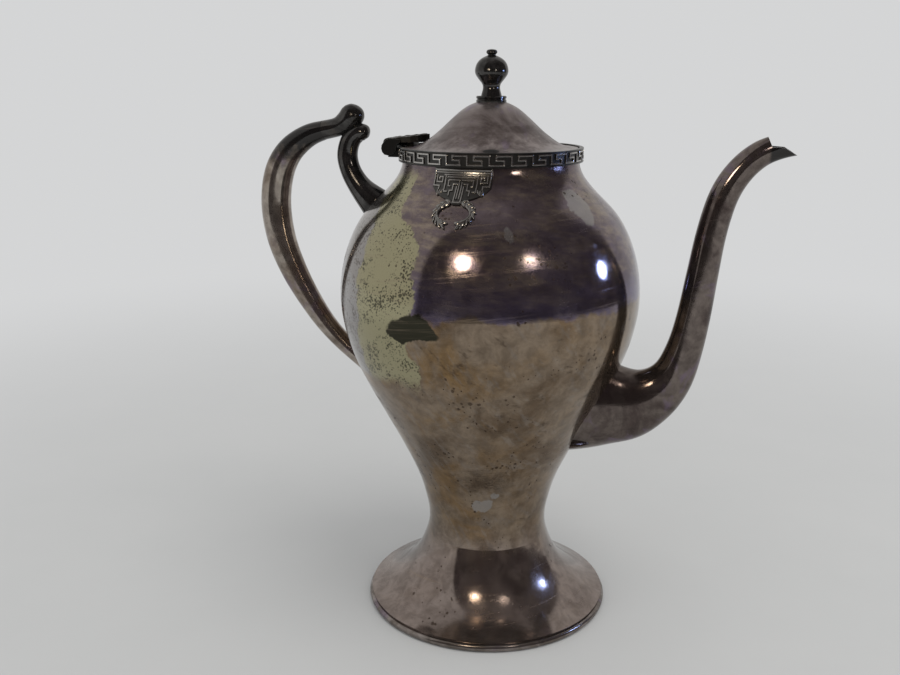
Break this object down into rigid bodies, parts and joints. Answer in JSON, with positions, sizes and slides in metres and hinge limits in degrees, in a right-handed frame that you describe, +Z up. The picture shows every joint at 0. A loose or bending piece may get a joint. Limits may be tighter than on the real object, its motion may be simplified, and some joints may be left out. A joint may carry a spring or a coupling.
{
  "type": "coffee pot",
  "caption": "Footed vase-shaped silver coffee pot with a hinged domed lid, swan-neck spout, scrolled handle, key-pattern band and laurel ornaments.",
  "frame": {"origin": "centre of the foot, on the plane it rests on", "axes": "+Z up along the pot's turned axis, +X along the spout and -X along the handle, +Y to the far side"},
  "size_m": [0.2319, 0.131, 0.2486],
  "materials": {
    "silver_body": "silver plate with mottled brown and purple tarnish, mirror under fine scratches",
    "silver_foot": "silver plate with an even pinkish-grey tarnish",
    "silver_lid": "silver plate with a cloudy, half-matt tarnish",
    "silver_cast": "dark glossy tarnish with worn high places",
    "silver_ornament": "nearly black in the hollows of the relief, brighter on its edges",
    "hidden_brass": "dull"
  },
  "bodies": {
    "pot": {"foot": "silver_foot", "foot_rim": "silver_foot", "body_floor": "silver_body", "body_lower": "silver_body", "body_upper": "silver_body", "mouth_ring": "silver_body", "key_band": "silver_ornament", "spout_near_half": "silver_cast", "spout_far_half": "silver_cast", "handle_near_half": "silver_cast", "handle_far_half": "silver_cast", "handle_knob": "silver_cast", "handle_bracket": "silver_cast", "front_ornament": "silver_ornament", "back_ornament": "silver_ornament", "hinge_lug": "silver_ornament", "hinge_pin": "hidden_brass"},
    "lid": {"lid_dome": "silver_lid", "lid_bezel": "silver_lid", "lid_hinge_leaf": "silver_ornament", "lid_ornament": "silver_ornament", "finial_collar": "silver_ornament", "finial_knob": "silver_ornament", "finial_stud": "hidden_brass", "finial_nut": "hidden_brass"}
  },
  "joints": [
    {"name": "lid_hinge", "type": "hinge", "parent": "pot", "child": "lid", "pos_m": [-0.0436, 0, 0.2076], "axis": [0, -1, 0], "range_deg": [0, 100]}
  ]
}
